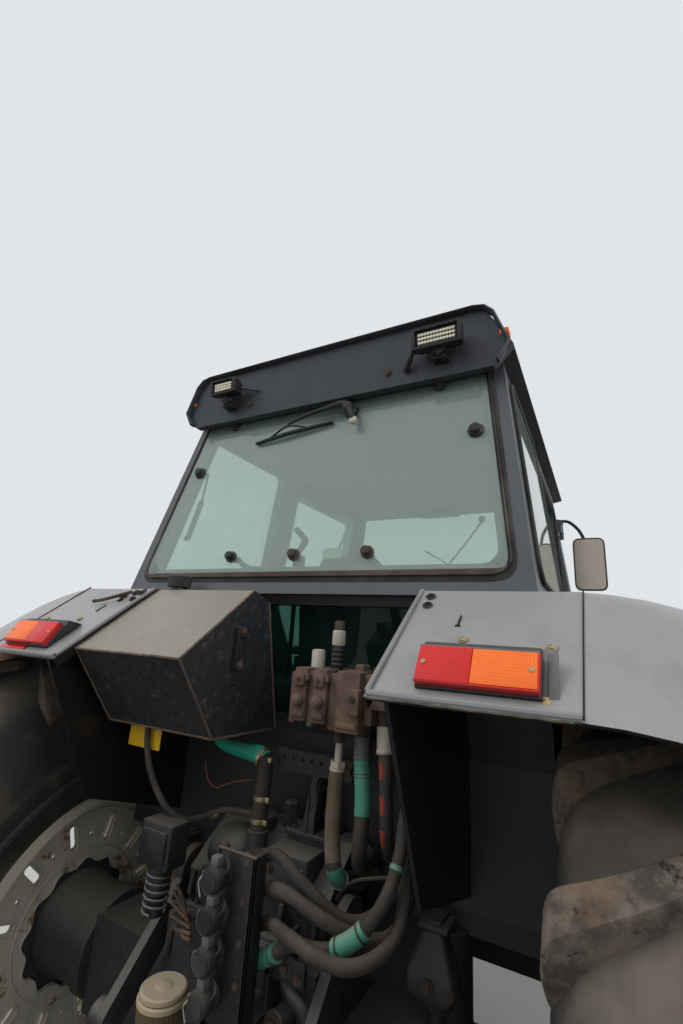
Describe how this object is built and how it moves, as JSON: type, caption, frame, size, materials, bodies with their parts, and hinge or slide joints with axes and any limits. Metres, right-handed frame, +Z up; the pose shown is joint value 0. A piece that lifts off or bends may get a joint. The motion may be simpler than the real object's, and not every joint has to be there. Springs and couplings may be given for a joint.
{
  "type": "farm tractor",
  "caption": "Farm tractor with closed cab, driven steered front axle, opening doors and hood, rear lift linkage, drawbar, power take-off and front weights.",
  "frame": {"origin": "on the ground under the middle of the bounding box", "axes": "+X to the right, +Y forward, +Z up"},
  "size_m": [2.722, 4.8149, 2.967],
  "materials": {
    "cast_paint": "dark grey paint over castings, worn and oily",
    "black_metal": "satin black",
    "black_plastic": "matt",
    "cab_paint": "dark grey, dusty",
    "roof_plastic": "dark grey",
    "clear_glass": "green-tinted",
    "green_glass": "dark green",
    "seat_cloth": "woven",
    "fender_paint": "dusty grey",
    "fender_plastic": "dusty grey",
    "lamp_red": "moulded lens",
    "lamp_clear": "lens",
    "mirror_shell": "grained",
    "rusty_steel": "rusty",
    "bright_steel": "machined",
    "hood_plastic": "dark grey",
    "wheel_paint": "light grey, rusty",
    "tyre": "dusty tread",
    "hose_rubber": "hose cover"
  },
  "bodies": {
    "root": {"rear_axle_housing": "cast_paint", "gearbox": "cast_paint", "engine": "cast_paint", "front_frame": "cast_paint", "front_axle": "cast_paint", "radiator": "black_metal", "fuel_tank": "black_plastic", "battery_box": "black_plastic", "steps": "black_metal", "cab_floor": "black_metal", "cab_frame": "cab_paint", "roof": "roof_plastic", "windscreen": "clear_glass", "rear_window": "clear_glass", "quarter_windows": "clear_glass", "lower_rear_window": "green_glass", "seat": "seat_cloth", "dashboard": "black_plastic", "fender_right": "fender_paint", "fender_left": "fender_paint", "fender_extension_right": "fender_plastic", "fender_extension_left": "fender_plastic", "tail_lamps": "lamp_red", "work_lights": "lamp_clear", "mirrors": "mirror_shell", "oil_tank": "cab_paint", "valve_block": "rusty_steel", "coupler_bank": "black_metal", "hydraulic_hoses": "hose_rubber", "lift_cover": "cast_paint", "drawbar": "rusty_steel", "exhaust": "black_metal", "front_weights": "cast_paint"},
    "hood": {"hood": "hood_plastic", "grille": "black_plastic", "head_lamps": "lamp_clear"},
    "door_right": {"door_right": "cab_paint", "door_glass_right": "clear_glass"},
    "door_left": {"door_left": "cab_paint", "door_glass_left": "clear_glass"},
    "knuckle_right": {"knuckle_right": "cast_paint"},
    "knuckle_left": {"knuckle_left": "cast_paint"},
    "steering_rod": {"steering_rod": "bright_steel"},
    "front_wheel_right": {"front_wheel_right": "wheel_paint", "front_tyre_right": "tyre"},
    "front_wheel_left": {"front_wheel_left": "wheel_paint", "front_tyre_left": "tyre"},
    "rear_wheel_right": {"rear_wheel_right": "wheel_paint", "rear_tyre_right": "tyre"},
    "rear_wheel_left": {"rear_wheel_left": "wheel_paint", "rear_tyre_left": "tyre"},
    "lift_arms": {"lift_arms": "rusty_steel"},
    "lift_rods": {"lift_rods": "rusty_steel"},
    "lower_links": {"lower_links": "rusty_steel"},
    "pto_shaft": {"pto_shaft": "bright_steel"}
  },
  "joints": [
    {"name": "rear_wheel_right_spin", "type": "hinge", "parent": "root", "child": "rear_wheel_right", "pos_m": [1.05, -1.43253, 0.9175], "axis": [1, 0, 0], "continuous": true},
    {"name": "rear_wheel_left_spin", "type": "hinge", "parent": "root", "child": "rear_wheel_left", "pos_m": [-1.05, -1.43253, 0.9175], "axis": [1, 0, 0], "continuous": true},
    {"name": "steer_right", "type": "hinge", "parent": "root", "child": "knuckle_right", "pos_m": [0.7, 1.30747, 0.72], "axis": [0, 0, 1], "range_deg": [-35, 35]},
    {"name": "steer_left", "type": "hinge", "parent": "root", "child": "knuckle_left", "pos_m": [-0.7, 1.30747, 0.72], "axis": [0, 0, 1], "range_deg": [-35, 35]},
    {"name": "steering_rod_slide", "type": "slide", "parent": "root", "child": "steering_rod", "axis": [1, 0, 0], "range_m": [-0.09771, 0.09771]},
    {"name": "front_wheel_right_spin", "type": "hinge", "parent": "knuckle_right", "child": "front_wheel_right", "pos_m": [1, 1.30747, 0.72], "axis": [1, 0, 0], "continuous": true},
    {"name": "front_wheel_left_spin", "type": "hinge", "parent": "knuckle_left", "child": "front_wheel_left", "pos_m": [-1, 1.30747, 0.72], "axis": [1, 0, 0], "continuous": true},
    {"name": "hood_hinge", "type": "hinge", "parent": "root", "child": "hood", "pos_m": [0, 0.26747, 1.835], "axis": [1, 0, 0], "range_deg": [0, 50]},
    {"name": "door_right_hinge", "type": "hinge", "parent": "root", "child": "door_right", "pos_m": [0.731, 0.02047, 1.47], "axis": [-0.0597, 0, 0.9982], "range_deg": [0, 75]},
    {"name": "door_left_hinge", "type": "hinge", "parent": "root", "child": "door_left", "pos_m": [-0.731, 0.02047, 1.47], "axis": [-0.0597, 0, -0.9982], "range_deg": [0, 75]},
    {"name": "lift_arms_raise", "type": "hinge", "parent": "root", "child": "lift_arms", "pos_m": [0, -1.55253, 1.265], "axis": [-1, 0, 0], "range_deg": [-8, 45]},
    {"name": "lift_rods_swing", "type": "hinge", "parent": "lift_arms", "child": "lift_rods", "pos_m": [0, -1.77759, 1.02365], "axis": [-1, 0, 0], "range_deg": [-58, 11]},
    {"name": "lower_links_raise", "type": "hinge", "parent": "root", "child": "lower_links", "pos_m": [0, -1.49253, 0.6], "axis": [-1, 0, 0], "range_deg": [-5, 28]},
    {"name": "pto_spin", "type": "hinge", "parent": "root", "child": "pto_shaft", "pos_m": [0, -1.65253, 0.7], "axis": [0, 1, 0], "continuous": true}
  ],
  "couplings": [
    {"joint": "steer_left", "follows": "steer_right", "ratio": 1},
    {"joint": "steering_rod_slide", "follows": "steer_right", "m_per_rad": 0.15962},
    {"joint": "lower_links_raise", "follows": "lift_arms_raise", "ratio": 0.602},
    {"joint": "lift_rods_swing", "follows": "lift_arms_raise", "ratio": -1.265}
  ]
}
